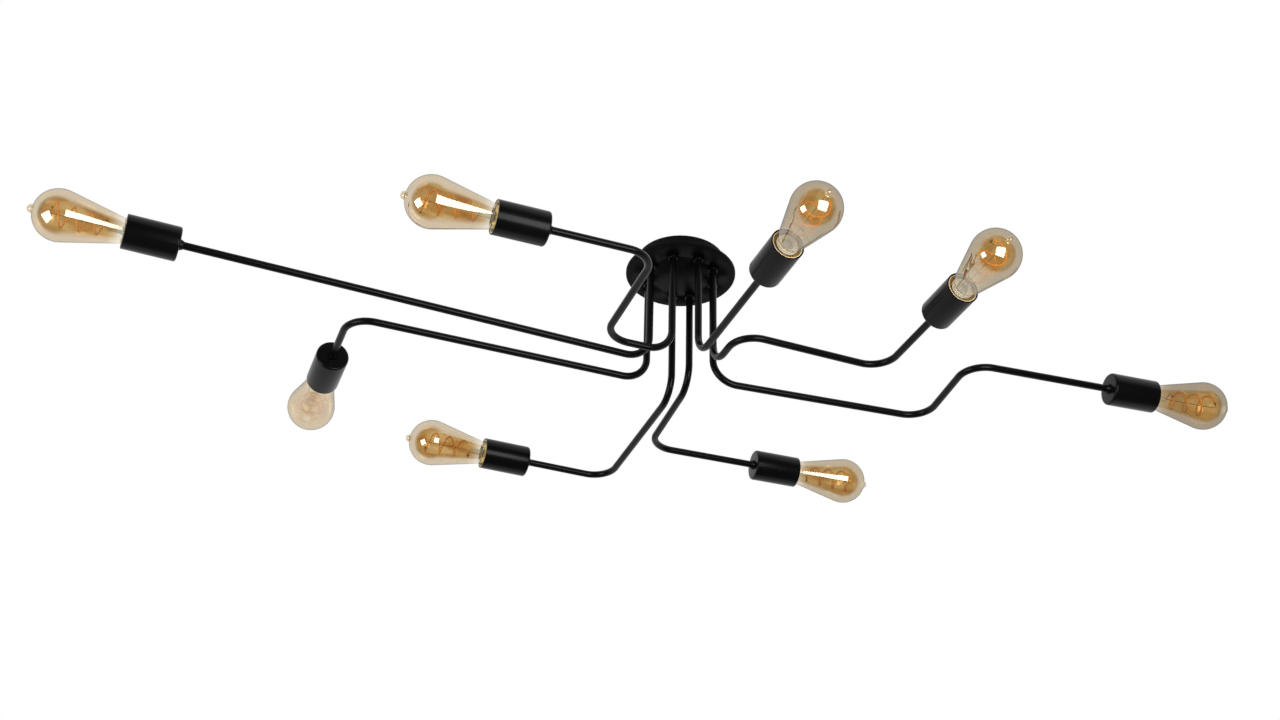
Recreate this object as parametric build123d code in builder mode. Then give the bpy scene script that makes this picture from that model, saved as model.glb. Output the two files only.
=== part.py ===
from build123d import *
import os
from math import cos, pi, radians, sin, sqrt, tan

# Eight-arm ceiling light in millimetres, +Z up.
# The origin is the centre of the ceiling face; everything hangs below it.

# Canopy: a round cup against the ceiling and a wider plate under it
canopy_height = 25.0
plate_radius = 75.0
plate_sheet = 1.5
plate_rim_height = 5.0
plate_edge_radius = 3.0
plate_lip_rounding = 0.5
cup_radius = 60.0
cup_sheet = 1.2
tab_angles = (26.5, 109.0, 213.0, 297.0)
tab_width = 9.0
tab_inner_radius = 49.0
stud_ring_radius = 53.0
stud_radius = 2.0
stud_height = 8.0
stud_nut_flats = 7.0
stud_nut_height = 3.2

# Ceiling bracket: a strap with two slots and two ears turned down
bracket_half_length = 57.5
bracket_width = 18.0
bracket_sheet = 2.0
bracket_ear_height = 13.0
bracket_bend_radius = 3.0
bracket_edge_rounding = 0.25
slot_spacing = 60.0
slot_length = 14.0
slot_radius = 2.75
side_screw_height = 7.0
side_screw_radius = 2.0
side_screw_head_radius = 3.6
side_screw_head_height = 2.2
side_screw_head_rounding = 1.3
side_screw_tip = 52.0

# Stems: each arm tube turns in a collar, the plate, a washer and a locknut
ring_radius = 47.8
tube_radius = 4.8
tube_bore_radius = 3.8
bend_radius = 34.0
running_clearance = 0.05
collar_radius = 6.6
collar_height = 5.0
collar_rounding = 1.2
washer_radius = 7.6
washer_height = 0.8
locknut_flats = 13.0
locknut_height = 4.0
bead_radius = 6.8
bead_height = 1.5
stem_top = -16.0

# Terminal block round the earth stud, and the leads that reach it
block_radius = 18.0
block_top = -8.0
terminal_ring_radius = 13.5
terminal_screw_radius = 1.9
terminal_screw_height = 4.5
terminal_well_depth = 6.0
terminal_slot_length = 5.0
terminal_slot_width = 0.6
terminal_slot_depth = 1.0
supply_ports = 3
supply_port_ring_radius = 8.6
supply_port_radius = 1.8
supply_port_depth = 9.0
earth_stud_radius = 2.5
earth_stud_top = -3.0
earth_lug_radius = 5.5
earth_lug_height = 0.8
earth_nut_flats = 8.0
earth_nut_height = 3.2
lead_radius = 1.5
lead_height = -10.0
lead_bend_radius = 6.0
lead_start = -20.0
lead_turn_radius = 30.0
lead_turn_angle = 25.0

# Lampholder: a round sleeve over a screw socket, measured along the lamp's axis from the sleeve's back
sleeve_radius = 21.5
sleeve_length = 65.5
sleeve_sheet = 1.2
sleeve_back = 1.5
sleeve_back_rounding = 3.0
sleeve_lip_rounding = 0.4
ferrule_length = 5.0
ferrule_small_radius = 5.5
ferrule_large_radius = 7.0
tube_reach = 11.0
socket_radius = 19.9
socket_front = 58.0
socket_floor = 31.0
socket_bore_radius = 13.7
socket_rear_depth = 20.0
socket_back_chamfer = 2.0
contact_radius = 3.0
contact_gap = 0.4

# Bulb: a screw cap, a pear-shaped envelope and a spiral filament on a glass stem
cap_tip = 33.6
cap_rim = 60.6
cap_wall = 0.8
cap_cone_radius = 9.15
cap_cone_top = 38.5
thread_pitch = 3.62
thread_turns = 4
thread_crest_share = 0.4
thread_ridge_share = 0.8
thread_crest_radius = 13.2
thread_root_radius = 12.15
thread_start = 40.5
contact_button_height = 1.6
glass_wall = 0.9
glass_radius = 32.0
glass_centre = 140.5
glass_cone_angle = 13.0
glass_neck_radius = 12.8
glass_neck_lip = 0.6
glass_neck_top = 64.0
glass_gap = 0.05
pip_base_radius = 7.0
pip_radius = 4.0
pip_tip = 178.0
glass_stem_flare_radius = 11.6
glass_stem_radius = 4.0
glass_stem_flare_top = 72.0
glass_stem_top = 84.0
glass_stem_rounding = 2.0
filament_radius = 0.9
filament_start = 88.0
filament_end = 150.0
filament_turns = 3
filament_first_radius = 11.5
filament_last_radius = 14.5
quarters_per_turn = 4
support_wire_radius = 0.4
support_bend_radius = 1.5

# Arms: the stem's angle on the ring, the drop below the plate, the swivel from square,
# the turn of the bulb about its own axis, and the level runs to the back of the lampholder.
# W, E, N and S run along -X, +X, +Y and -Y.
compass = {"W": (-1, 0), "E": (1, 0), "N": (0, 1), "S": (0, -1)}
arms = {
    "a": dict(stem=190.5, drop=153.0, swivel=2.0, turn=20, runs=[("W", 614.5)]),
    "b": dict(stem=137.0, drop=159.0, swivel=-0.25, turn=75, runs=[("W", 402.0), ("N", 97.5)]),
    "c": dict(stem=235.5, drop=155.0, swivel=-0.2, turn=130, runs=[("W", 94.5), ("S", 191.5), ("W", 138.0)]),
    "d": dict(stem=81.5, drop=162.0, swivel=0.2, turn=200, runs=[("N", 251.5), ("W", 123.5)]),
    "e": dict(stem=53.0, drop=147.0, swivel=-2.8, turn=255, runs=[("N", 174.5), ("E", 159.5)]),
    "f": dict(stem=278.5, drop=159.0, swivel=0.9, turn=310, runs=[("S", 203.5)]),
    "g": dict(stem=315.5, drop=158.0, swivel=1.2, turn=45, runs=[("S", 84.5), ("E", 207.0), ("S", 135.5)]),
    "h": dict(stem=0.0, drop=159.0, swivel=-4.6, turn=100, runs=[("E", 304.0), ("S", 144.5), ("E", 201.0)]),
}

plate_bottom = -canopy_height
plate_top = plate_bottom + plate_sheet
washer_top = plate_top + washer_height
locknut_top = washer_top + locknut_height
stem_bore = tube_radius + running_clearance
sleeve_bore = sleeve_radius - sleeve_sheet


def polar(radius, angle):
    return (radius * cos(radians(angle)), radius * sin(radians(angle)))


def arm_corners(arm):
    """Stem top, then each bend's corner, then the back of the lampholder."""
    x, y = polar(ring_radius, arm["stem"])
    z = plate_bottom - arm["drop"]
    points = [Vector(x, y, stem_top), Vector(x, y, z)]
    for heading, length in arm["runs"]:
        step = Vector(*compass[heading], 0).rotate(Axis.Z, arm["swivel"])
        points.append(points[-1] + step * length)
    return points


def lamp_plane(arm, turn=0):
    """Plane on the back of the lampholder, with Z along the lamp and X turned from straight up."""
    corners = arm_corners(arm)
    heading = corners[-1] - corners[-2]
    upward = Vector(0, 0, 1).rotate(Axis((0, 0, 0), heading), turn)
    return Plane(origin=corners[-1], x_dir=upward, z_dir=heading)


def biarc(start, start_tangent, end, end_tangent):
    """Joint and joint tangent of the two equal-handled arcs from start to end."""
    span = end - start
    along = span.dot(start_tangent + end_tangent)
    turn = 2 * (1 - start_tangent.dot(end_tangent))
    handle = (sqrt(along**2 + turn * span.dot(span)) - along) / turn
    first = start + start_tangent * handle
    second = end - end_tangent * handle
    return (first + second) * 0.5, (second - first).normalized()


def hexagon_radius(flats):
    return flats / 2 / cos(pi / 6)


def save(part, name):
    part.label = name
    export_step(part, f"parts/{name}.step")


def place(part, name, plane):
    save(part.moved(plane.location), name)


os.makedirs("parts", exist_ok=True)
stem_points = [polar(ring_radius, arm["stem"]) for arm in arms.values()]
stud_points = [polar(stud_ring_radius, angle) for angle in tab_angles]

# Canopy plate: a shallow dish with a rounded edge, weld studs for the cup and the earth stud
with BuildPart() as canopy_plate:
    with BuildSketch(Plane.XZ):
        with BuildLine():
            Polyline(
                (0, plate_bottom),
                (plate_radius, plate_bottom),
                (plate_radius, plate_bottom + plate_rim_height),
                (plate_radius - plate_sheet, plate_bottom + plate_rim_height),
                (plate_radius - plate_sheet, plate_top),
                (0, plate_top),
                close=True,
            )
        make_face()
    revolve(axis=Axis.Z)
    rim_edges = canopy_plate.edges().filter_by(GeomType.CIRCLE)
    fillet(rim_edges.group_by(Axis.Z)[0], plate_edge_radius)
    fillet(canopy_plate.edges().filter_by(GeomType.CIRCLE).group_by(Axis.Z)[-1], plate_lip_rounding)
    with BuildSketch(Plane.XY.offset(plate_top)):
        with Locations(*stud_points):
            Circle(stud_radius)
    extrude(amount=stud_height)
    with BuildSketch(Plane.XY.offset(plate_top)):
        Circle(earth_stud_radius)
    extrude(amount=earth_stud_top - plate_top)
    with Locations(*[(x, y, plate_top) for x, y in stem_points]):
        Hole(radius=stem_bore, depth=plate_sheet)
save(canopy_plate.part, "canopy_plate")

# Canopy cup: a round wall with four inner tabs that sit on the plate
with BuildPart() as canopy_cup:
    with BuildSketch(Plane.XY.offset(plate_top)):
        Circle(cup_radius)
        Circle(cup_radius - cup_sheet, mode=Mode.SUBTRACT)
    extrude(amount=-plate_top)
    with BuildSketch(Plane.XY.offset(plate_top)):
        tab_length = cup_radius - cup_sheet / 2 - tab_inner_radius
        for angle in tab_angles:
            with Locations(Location((*polar(tab_inner_radius + tab_length / 2, angle), 0), (0, 0, angle))):
                Rectangle(tab_length, tab_width)
    extrude(amount=cup_sheet)
    with Locations(*[(x, y, plate_top + cup_sheet) for x, y in stud_points]):
        Hole(radius=stud_radius + 2 * running_clearance, depth=cup_sheet)
    with BuildSketch(Plane.YZ):
        with Locations((0, -side_screw_height)):
            Circle(side_screw_radius + 4 * running_clearance)
    extrude(amount=cup_radius + cup_sheet, both=True, mode=Mode.SUBTRACT)
save(canopy_cup.part, "canopy_cup")

# Nuts that hold the cup's tabs on the plate's studs
with BuildPart() as cup_nuts:
    with BuildSketch(Plane.XY.offset(plate_top + cup_sheet)):
        with Locations(*stud_points):
            RegularPolygon(hexagon_radius(stud_nut_flats), 6)
            Circle(stud_radius + running_clearance, mode=Mode.SUBTRACT)
    extrude(amount=stud_nut_height)
save(cup_nuts.part, "cup_nuts")

# Ceiling bracket, flat against the ceiling, with ears inside the cup
with BuildPart() as ceiling_bracket:
    with BuildSketch(Plane.XZ):
        ear_inside = bracket_half_length - bracket_sheet
        with BuildLine():
            Polyline(
                (-bracket_half_length, 0),
                (bracket_half_length, 0),
                (bracket_half_length, -bracket_ear_height),
                (ear_inside, -bracket_ear_height),
                (ear_inside, -bracket_sheet),
                (-ear_inside, -bracket_sheet),
                (-ear_inside, -bracket_ear_height),
                (-bracket_half_length, -bracket_ear_height),
                close=True,
            )
        make_face()
    extrude(amount=bracket_width / 2, both=True)
    bend_edges = ceiling_bracket.edges().filter_by(Axis.Y)
    fillet(bend_edges.group_by(Axis.Z)[-1], bracket_bend_radius)
    fillet(ceiling_bracket.edges().filter_by(Axis.Z).group_by(Axis.Z)[0], bracket_edge_rounding)
    with BuildSketch():
        with Locations((-slot_spacing / 2, 0), (slot_spacing / 2, 0)):
            SlotOverall(slot_length, 2 * slot_radius)
    extrude(amount=-bracket_sheet, mode=Mode.SUBTRACT)
    with BuildSketch(Plane.YZ):
        with Locations((0, -side_screw_height)):
            Circle(side_screw_radius + running_clearance)
    extrude(amount=bracket_half_length, both=True, mode=Mode.SUBTRACT)
save(ceiling_bracket.part, "ceiling_bracket")

# Two screws through the cup's wall into the bracket's ears
with BuildPart() as side_screws:
    for side in (-1, 1):
        with BuildSketch(Plane(origin=(side * side_screw_tip, 0, -side_screw_height), z_dir=(side, 0, 0))):
            Circle(side_screw_radius)
        extrude(amount=cup_radius - side_screw_tip)
        with BuildSketch(Plane(origin=(side * cup_radius, 0, -side_screw_height), z_dir=(side, 0, 0))):
            Circle(side_screw_head_radius)
        extrude(amount=side_screw_head_height)
    head_edges = side_screws.edges().filter_by(GeomType.CIRCLE).group_by(Axis.X)
    fillet(head_edges[0] + head_edges[-1], side_screw_head_rounding)
save(side_screws.part, "side_screws")

# Collars under the plate, washers and locknuts above it, one set per stem
with BuildPart() as stem_collars:
    with BuildSketch(Plane.XY.offset(plate_bottom)):
        with Locations(*stem_points):
            Circle(collar_radius)
            Circle(stem_bore, mode=Mode.SUBTRACT)
    extrude(amount=-collar_height)
    lower_edges = stem_collars.edges().group_by(Axis.Z)[0]
    fillet(lower_edges.group_by(SortBy.RADIUS)[-1], collar_rounding)
save(stem_collars.part, "stem_collars")

with BuildPart() as stem_washers:
    with BuildSketch(Plane.XY.offset(plate_top)):
        with Locations(*stem_points):
            Circle(washer_radius)
            Circle(stem_bore, mode=Mode.SUBTRACT)
    extrude(amount=washer_height)
save(stem_washers.part, "stem_washers")

with BuildPart() as stem_locknuts:
    with BuildSketch(Plane.XY.offset(washer_top)):
        with Locations(*stem_points):
            RegularPolygon(hexagon_radius(locknut_flats), 6)
            Circle(stem_bore, mode=Mode.SUBTRACT)
    extrude(amount=locknut_height)
save(stem_locknuts.part, "stem_locknuts")

# Terminal block: one screw well per arm lead, and three ports for the supply
lead_angles = {key: arm["stem"] + lead_turn_angle for key, arm in arms.items()}
terminal_points = [polar(terminal_ring_radius, angle) for angle in lead_angles.values()]
with BuildPart() as terminal_block:
    with BuildSketch(Plane.XY.offset(plate_top)):
        Circle(block_radius)
        Circle(earth_stud_radius + 2 * running_clearance, mode=Mode.SUBTRACT)
    extrude(amount=block_top - plate_top)
    with Locations((0, 0, block_top)):
        with Locations(*terminal_points):
            Hole(radius=terminal_screw_radius + 2 * running_clearance, depth=terminal_well_depth)
        with PolarLocations(supply_port_ring_radius, supply_ports):
            Hole(radius=supply_port_radius, depth=supply_port_depth)
save(terminal_block.part, "terminal_block")

with BuildPart() as terminal_screws:
    with BuildSketch(Plane.XY.offset(block_top - terminal_well_depth)):
        with Locations(*terminal_points):
            Circle(terminal_screw_radius)
    extrude(amount=terminal_screw_height)
    with BuildSketch(Plane.XY.offset(block_top - terminal_well_depth + terminal_screw_height)):
        with Locations(*terminal_points):
            Rectangle(terminal_slot_length, terminal_slot_width)
    extrude(amount=-terminal_slot_depth, mode=Mode.SUBTRACT)
save(terminal_screws.part, "terminal_screws")

# Earth lug and its nut on the plate's middle stud
with BuildPart() as earth_nut:
    with BuildSketch(Plane.XY.offset(block_top)):
        Circle(earth_lug_radius)
        Circle(earth_stud_radius + running_clearance, mode=Mode.SUBTRACT)
    extrude(amount=earth_lug_height)
    with BuildSketch(Plane.XY.offset(block_top + earth_lug_height)):
        RegularPolygon(hexagon_radius(earth_nut_flats), 6)
        Circle(earth_stud_radius + running_clearance, mode=Mode.SUBTRACT)
    extrude(amount=earth_nut_height)
save(earth_nut.part, "earth_nut")

# Leads: out of each stem, level and a little round the canopy, then straight into the terminal block
with BuildPart() as arm_leads:
    for key, arm in arms.items():
        stem = polar(ring_radius, arm["stem"])
        with BuildLine() as lead_path:
            FilletPolyline(
                (*stem, lead_start),
                (*stem, lead_height),
                (*polar(lead_turn_radius, lead_angles[key]), lead_height),
                (*polar(block_radius, lead_angles[key]), lead_height),
                radius=lead_bend_radius,
            )
        with BuildSketch(Plane(origin=lead_path.line @ 0, z_dir=lead_path.line % 0)):
            Circle(lead_radius)
        sweep(path=lead_path.line)
save(arm_leads.part, "arm_leads")

# Lampholder sleeve: a deep cup with a rounded back and a hole for the arm tube
with BuildPart() as lamp_sleeve:
    with BuildSketch():
        Circle(sleeve_radius)
    extrude(amount=sleeve_length)
    fillet(lamp_sleeve.edges().group_by(Axis.Z)[0], sleeve_back_rounding)
    with BuildSketch(Plane.XY.offset(sleeve_back)):
        Circle(sleeve_bore)
    extrude(amount=sleeve_length - sleeve_back, mode=Mode.SUBTRACT)
    fillet(lamp_sleeve.edges().group_by(Axis.Z)[-1], sleeve_lip_rounding)
    inner_back = lamp_sleeve.edges().filter_by_position(Axis.Z, sleeve_back, sleeve_back)
    fillet(inner_back, sleeve_back_rounding - sleeve_back)
    with Locations((0, 0, sleeve_back)):
        Hole(radius=stem_bore, depth=sleeve_back)

# Socket: an insulating core with a plain screw bore, and a sprung contact at its floor
with BuildPart() as lamp_socket:
    with BuildSketch(Plane.XY.offset(sleeve_back)):
        Circle(socket_radius)
    extrude(amount=socket_front - sleeve_back)
    chamfer(lamp_socket.edges().group_by(Axis.Z)[0], socket_back_chamfer)
    with Locations((0, 0, socket_front)):
        Hole(radius=socket_bore_radius, depth=socket_front - socket_floor)
    with BuildSketch(Plane.XY.offset(sleeve_back)):
        Circle(stem_bore)
    extrude(amount=socket_rear_depth, mode=Mode.SUBTRACT)
    with BuildSketch(Plane.XY.offset(socket_floor)):
        Circle(contact_radius)
    extrude(amount=cap_tip - contact_gap - socket_floor)

# Bulb cap: contact button, insulator cone and a rolled shell with round-crested ridges
with BuildPart() as bulb_cap:
    with BuildSketch(Plane.XZ):
        with BuildLine():
            shoulder = Polyline(
                (0, cap_tip),
                (contact_radius, cap_tip),
                (contact_radius, cap_tip + contact_button_height),
                (cap_cone_radius, cap_cone_top),
                (thread_root_radius, thread_start),
            )
            ridge_end = shoulder @ 1
            for ridge in range(thread_turns):
                ridge_base = thread_start + ridge * thread_pitch
                crest = ThreePointArc(
                    ridge_end,
                    (thread_crest_radius, ridge_base + thread_pitch * thread_crest_share),
                    (thread_root_radius, ridge_base + thread_pitch * thread_ridge_share),
                )
                valley = Line(crest @ 1, (thread_root_radius, ridge_base + thread_pitch))
                ridge_end = valley @ 1
            Polyline(
                ridge_end,
                (thread_crest_radius, ridge_end.Y + thread_pitch * thread_crest_share),
                (thread_crest_radius, cap_rim),
                (thread_root_radius - cap_wall, cap_rim),
                (thread_root_radius - cap_wall, thread_start + cap_wall),
                (0, thread_start + cap_wall),
                (0, cap_tip),
            )
        make_face()
    revolve(axis=Axis.Z)


def glass_cone(inset):
    """Where the cone, drawn in by inset, meets the neck and the round end."""
    slope = radians(glass_cone_angle)
    radius = glass_radius - inset
    shoulder = Vector(radius * cos(slope), glass_centre - radius * sin(slope))
    foot = Vector(shoulder.X - (shoulder.Y - glass_neck_top) * tan(slope), glass_neck_top)
    return foot, shoulder


# Bulb envelope: a thin pear of glass, open at the cap, with a sealed pip at its tip
glass_foot = cap_rim + glass_gap
glass_inner_radius = glass_radius - glass_wall
neck_inner_radius = glass_neck_radius - glass_wall
cone_heading = (sin(radians(glass_cone_angle)), cos(radians(glass_cone_angle)))
outer_foot, outer_shoulder = glass_cone(0)
inner_foot, inner_shoulder = glass_cone(glass_wall)
pip_base = (pip_base_radius, glass_centre + sqrt(glass_radius**2 - pip_base_radius**2))
pip_waist = (pip_radius, pip_tip - pip_radius)
pip_side = (pip_radius * sin(pi / 4), pip_tip - pip_radius + pip_radius * cos(pi / 4))
inner_top = (0, glass_centre + glass_inner_radius)
with BuildPart() as bulb_glass:
    with BuildSketch(Plane.XZ):
        with BuildLine():
            Polyline(
                (neck_inner_radius, glass_foot),
                (glass_neck_radius, glass_foot),
                (glass_neck_radius, glass_foot + glass_neck_lip),
                outer_foot,
                outer_shoulder,
            )
            TangentArc(outer_shoulder, pip_base, tangent=cone_heading)
            Line(pip_base, pip_waist)
            ThreePointArc(pip_waist, pip_side, (0, pip_tip))
            Line((0, pip_tip), inner_top)
            TangentArc(inner_shoulder, inner_top, tangent=cone_heading)
            Polyline(
                inner_shoulder,
                inner_foot,
                (neck_inner_radius, glass_foot + glass_neck_lip + glass_wall),
                (neck_inner_radius, glass_foot),
            )
        make_face()
    revolve(axis=Axis.Z)


def filament_point(turn):
    """Point and tangent of the widening spiral after a number of turns."""
    share = turn / filament_turns
    radius = filament_first_radius + (filament_last_radius - filament_first_radius) * share
    widening = (filament_last_radius - filament_first_radius) / filament_turns / (2 * pi)
    climb = (filament_end - filament_start) / filament_turns / (2 * pi)
    angle = 2 * pi * turn
    height = filament_start + share * (filament_end - filament_start)
    point = Vector(radius * cos(angle), radius * sin(angle), height)
    tangent = Vector(
        widening * cos(angle) - radius * sin(angle), widening * sin(angle) + radius * cos(angle), climb
    )
    return point, tangent.normalized()


# Filament: a glass stem with two support wires and one spiral strand between them
spiral = [filament_point(step / quarters_per_turn) for step in range(filament_turns * quarters_per_turn + 1)]
straight_end = 2 * filament_radius
spiral_start = spiral[0][0] - spiral[0][1] * straight_end
spiral_stop = spiral[-1][0] + spiral[-1][1] * straight_end
with BuildPart() as bulb_filament:
    with BuildSketch(Plane.XZ):
        with BuildLine():
            Polyline(
                (0, cap_rim + 2 * glass_gap),
                (glass_stem_flare_radius, cap_rim + 2 * glass_gap),
                (glass_stem_radius, glass_stem_flare_top),
                (glass_stem_radius, glass_stem_top),
                (0, glass_stem_top),
                close=True,
            )
        make_face()
    revolve(axis=Axis.Z)
    fillet(bulb_filament.edges().group_by(Axis.Z)[-1], glass_stem_rounding)
    with BuildLine() as strand:
        Line(spiral_start, spiral[0][0])
        for (start, start_tangent), (end, end_tangent) in zip(spiral, spiral[1:]):
            joint, joint_tangent = biarc(start, start_tangent, end, end_tangent)
            TangentArc(start, joint, tangent=start_tangent)
            TangentArc(joint, end, tangent=joint_tangent)
        Line(spiral[-1][0], spiral_stop)
    with BuildSketch(Plane(origin=spiral_start, z_dir=spiral[0][1])):
        Circle(filament_radius)
    sweep(path=strand.line)
    wire_routes = (
        (
            spiral_start,
            spiral_start - spiral[0][1] * (glass_stem_radius + straight_end),
            Vector(glass_stem_radius / 2, 0, glass_stem_top),
        ),
        (
            spiral_stop,
            spiral_stop + spiral[-1][1] * (glass_stem_radius + straight_end),
            Vector(0, 0, filament_end + glass_stem_radius),
            Vector(0, 0, glass_stem_top),
        ),
    )
    for route in wire_routes:
        with BuildLine() as wire_path:
            FilletPolyline(*route, radius=support_bend_radius)
        with BuildSketch(Plane(origin=wire_path.line @ 0, z_dir=wire_path.line % 0)):
            Circle(support_wire_radius)
        sweep(path=wire_path.line)

samples_per_quarter = 16
sample_count = filament_turns * quarters_per_turn * samples_per_quarter
samples = [strand.line @ (step / sample_count) for step in range(sample_count + 1)]
strand_gap = min(
    (point - other).length
    for step, point in enumerate(samples)
    for other in samples[step + samples_per_quarter:]
) - 2 * filament_radius
print(f"filament: least gap between turns {strand_gap:.2f} mm")

# Arm tubes: one bent tube each, with a retaining bead at the top and a ferrule at the lampholder
for key, arm in arms.items():
    corners = arm_corners(arm)
    lamp = lamp_plane(arm)
    with BuildPart() as arm_tube:
        with BuildLine() as tube_path:
            FilletPolyline(*corners[:-1], corners[-1] + lamp.z_dir * tube_reach, radius=bend_radius)
        with BuildSketch(Plane(origin=tube_path.line @ 0, z_dir=tube_path.line % 0)):
            Circle(tube_radius)
        sweep(path=tube_path.line)
        with BuildSketch(Plane.XY.offset(locknut_top + running_clearance)):
            with Locations((corners[0].X, corners[0].Y)):
                Circle(bead_radius)
        extrude(amount=bead_height)
        with BuildSketch(lamp.offset(-ferrule_length)):
            Circle(ferrule_small_radius)
        with BuildSketch(lamp):
            Circle(ferrule_large_radius)
        loft()
        with BuildSketch(Plane(origin=tube_path.line @ 0, z_dir=tube_path.line % 0)):
            Circle(tube_bore_radius)
        sweep(path=tube_path.line, mode=Mode.SUBTRACT)
    save(arm_tube.part, f"arm_tube_{key}")
    place(lamp_sleeve.part, f"lamp_sleeve_{key}", lamp)
    place(lamp_socket.part, f"lamp_socket_{key}", lamp)
    bulb_plane = lamp_plane(arm, arm["turn"])
    place(bulb_cap.part, f"bulb_cap_{key}", bulb_plane)
    place(bulb_glass.part, f"bulb_glass_{key}", bulb_plane)
    place(bulb_filament.part, f"bulb_filament_{key}", bulb_plane)
    tube_length = sum(edge.length for edge in tube_path.edges())
    print(f"arm {key}: tube {tube_length:.0f} mm long, volume {arm_tube.part.volume:.0f} mm3")
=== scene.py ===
from math import asin, cos, degrees, pi, radians, sin, tan

import bmesh
import bpy
from mathutils import Matrix, Vector


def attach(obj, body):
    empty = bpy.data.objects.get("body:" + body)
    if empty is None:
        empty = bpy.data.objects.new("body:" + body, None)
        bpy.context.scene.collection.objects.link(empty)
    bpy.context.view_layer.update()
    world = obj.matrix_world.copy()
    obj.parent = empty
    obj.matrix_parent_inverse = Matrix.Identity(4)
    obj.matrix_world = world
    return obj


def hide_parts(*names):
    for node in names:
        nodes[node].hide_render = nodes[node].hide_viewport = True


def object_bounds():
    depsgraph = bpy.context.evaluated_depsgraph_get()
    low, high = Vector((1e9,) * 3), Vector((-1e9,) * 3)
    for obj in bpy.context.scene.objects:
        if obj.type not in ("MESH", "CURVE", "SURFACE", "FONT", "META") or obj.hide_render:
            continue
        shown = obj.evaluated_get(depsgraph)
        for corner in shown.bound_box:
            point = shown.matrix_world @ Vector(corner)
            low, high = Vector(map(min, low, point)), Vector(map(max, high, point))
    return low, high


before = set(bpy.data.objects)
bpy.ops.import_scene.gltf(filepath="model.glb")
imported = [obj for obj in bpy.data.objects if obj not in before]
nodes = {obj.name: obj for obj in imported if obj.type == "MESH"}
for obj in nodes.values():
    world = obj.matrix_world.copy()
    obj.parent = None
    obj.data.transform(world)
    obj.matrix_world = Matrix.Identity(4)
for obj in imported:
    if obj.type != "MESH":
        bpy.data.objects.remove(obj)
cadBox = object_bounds()
scene = bpy.context.scene
scene.view_settings.view_transform = "Standard"
mm = 0.001  # pieces are sized in mm, the studio in metres
print("frame loaded:", len(nodes), "nodes")


# Small helpers for colours and nodes

def linear(hexColour):
    channels = [int(hexColour[i:i + 2], 16) / 255 for i in (1, 3, 5)]
    return [c / 12.92 if c <= 0.04045 else ((c + 0.055) / 1.055) ** 2.4 for c in channels] + [1.0]


def addNode(tree, kind, inputs=None, feeds=None, **settings):
    # an input is a value or a socket, and the node's live output may feed another socket
    node = tree.nodes.new(kind)
    for name, value in settings.items():
        setattr(node, name, value)
    for name, value in (inputs or {}).items():
        if isinstance(value, bpy.types.NodeSocket):
            tree.links.new(value, node.inputs[name])
        else:
            node.inputs[name].default_value = value
    if feeds is not None:
        tree.links.new(next(output for output in node.outputs if output.enabled), feeds)
    return node


def newFinish(name, onLathe=False, **values):
    finish = bpy.data.materials.new(name)
    finish.use_nodes = True
    tree = finish.node_tree
    shader = tree.nodes["Principled BSDF"]
    for socket, value in values.items():
        shader.inputs[socket.replace("_", " ")].default_value = value
    # patterns lie in the piece's own space, or where each point lay on the lathe
    if onLathe:
        place = addNode(tree, "ShaderNodeAttribute", attribute_name="lampPlace").outputs["Vector"]
    else:
        place = addNode(tree, "ShaderNodeTexCoord").outputs["Object"]
    return finish, tree, shader, place


# Camera: low in front of the light, looking up at it, rolled a little
view = {
    "place": (-0.728, -1.8436, -1.4403),
    "azimuth": -20.02,
    "elevation": 32.80,
    "roll": 1.37,
    "focalPixels": 1773.7,
    "framePixels": 1280,
    "sensor": 36.0,
}


def makeCamera():
    data = bpy.data.cameras.new("studioCamera")
    camera = bpy.data.objects.new("studioCamera", data)
    scene.collection.objects.link(camera)
    data.sensor_width = view["sensor"]
    data.lens = view["focalPixels"] / view["framePixels"] * view["sensor"]
    aim = Matrix.Rotation(radians(view["azimuth"]), 4, "Z")
    tilt = Matrix.Rotation(radians(90 + view["elevation"]), 4, "X")
    lean = Matrix.Rotation(radians(view["roll"]), 4, "Z")
    camera.matrix_world = Matrix.Translation(view["place"]) @ aim @ tilt @ lean
    scene.camera = camera


makeCamera()
print("camera placed")


# Finishes

def powderCoat(name, specular, smoothest, roughest):
    # black powder coat baked on steel: a dark even face with a soft orange peel under the sheen
    peel = 2.6 * mm  # real peel is near 1 mm, drawn coarser so that it shows
    cloud = 45 * mm
    finish, tree, shader, place = newFinish(name, Specular_IOR_Level=specular)
    clouds = addNode(tree, "ShaderNodeTexNoise", {"Vector": place, "Scale": 1 / cloud, "Detail": 3.0})
    addNode(
        tree,
        "ShaderNodeMix",
        {"Factor": clouds.outputs["Fac"], "A": linear("#050405"), "B": linear("#090809")},
        shader.inputs["Base Color"],
        data_type="RGBA",
    )
    addNode(
        tree,
        "ShaderNodeMapRange",
        {"Value": clouds.outputs["Fac"], "To Min": smoothest, "To Max": roughest},
        shader.inputs["Roughness"],
    )
    grains = addNode(tree, "ShaderNodeTexNoise", {"Vector": place, "Scale": 1 / peel, "Detail": 2.0})
    addNode(
        tree,
        "ShaderNodeBump",
        {"Height": grains.outputs["Fac"], "Strength": 0.12, "Distance": 0.06 * mm},
        shader.inputs["Normal"],
    )
    return finish


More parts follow.
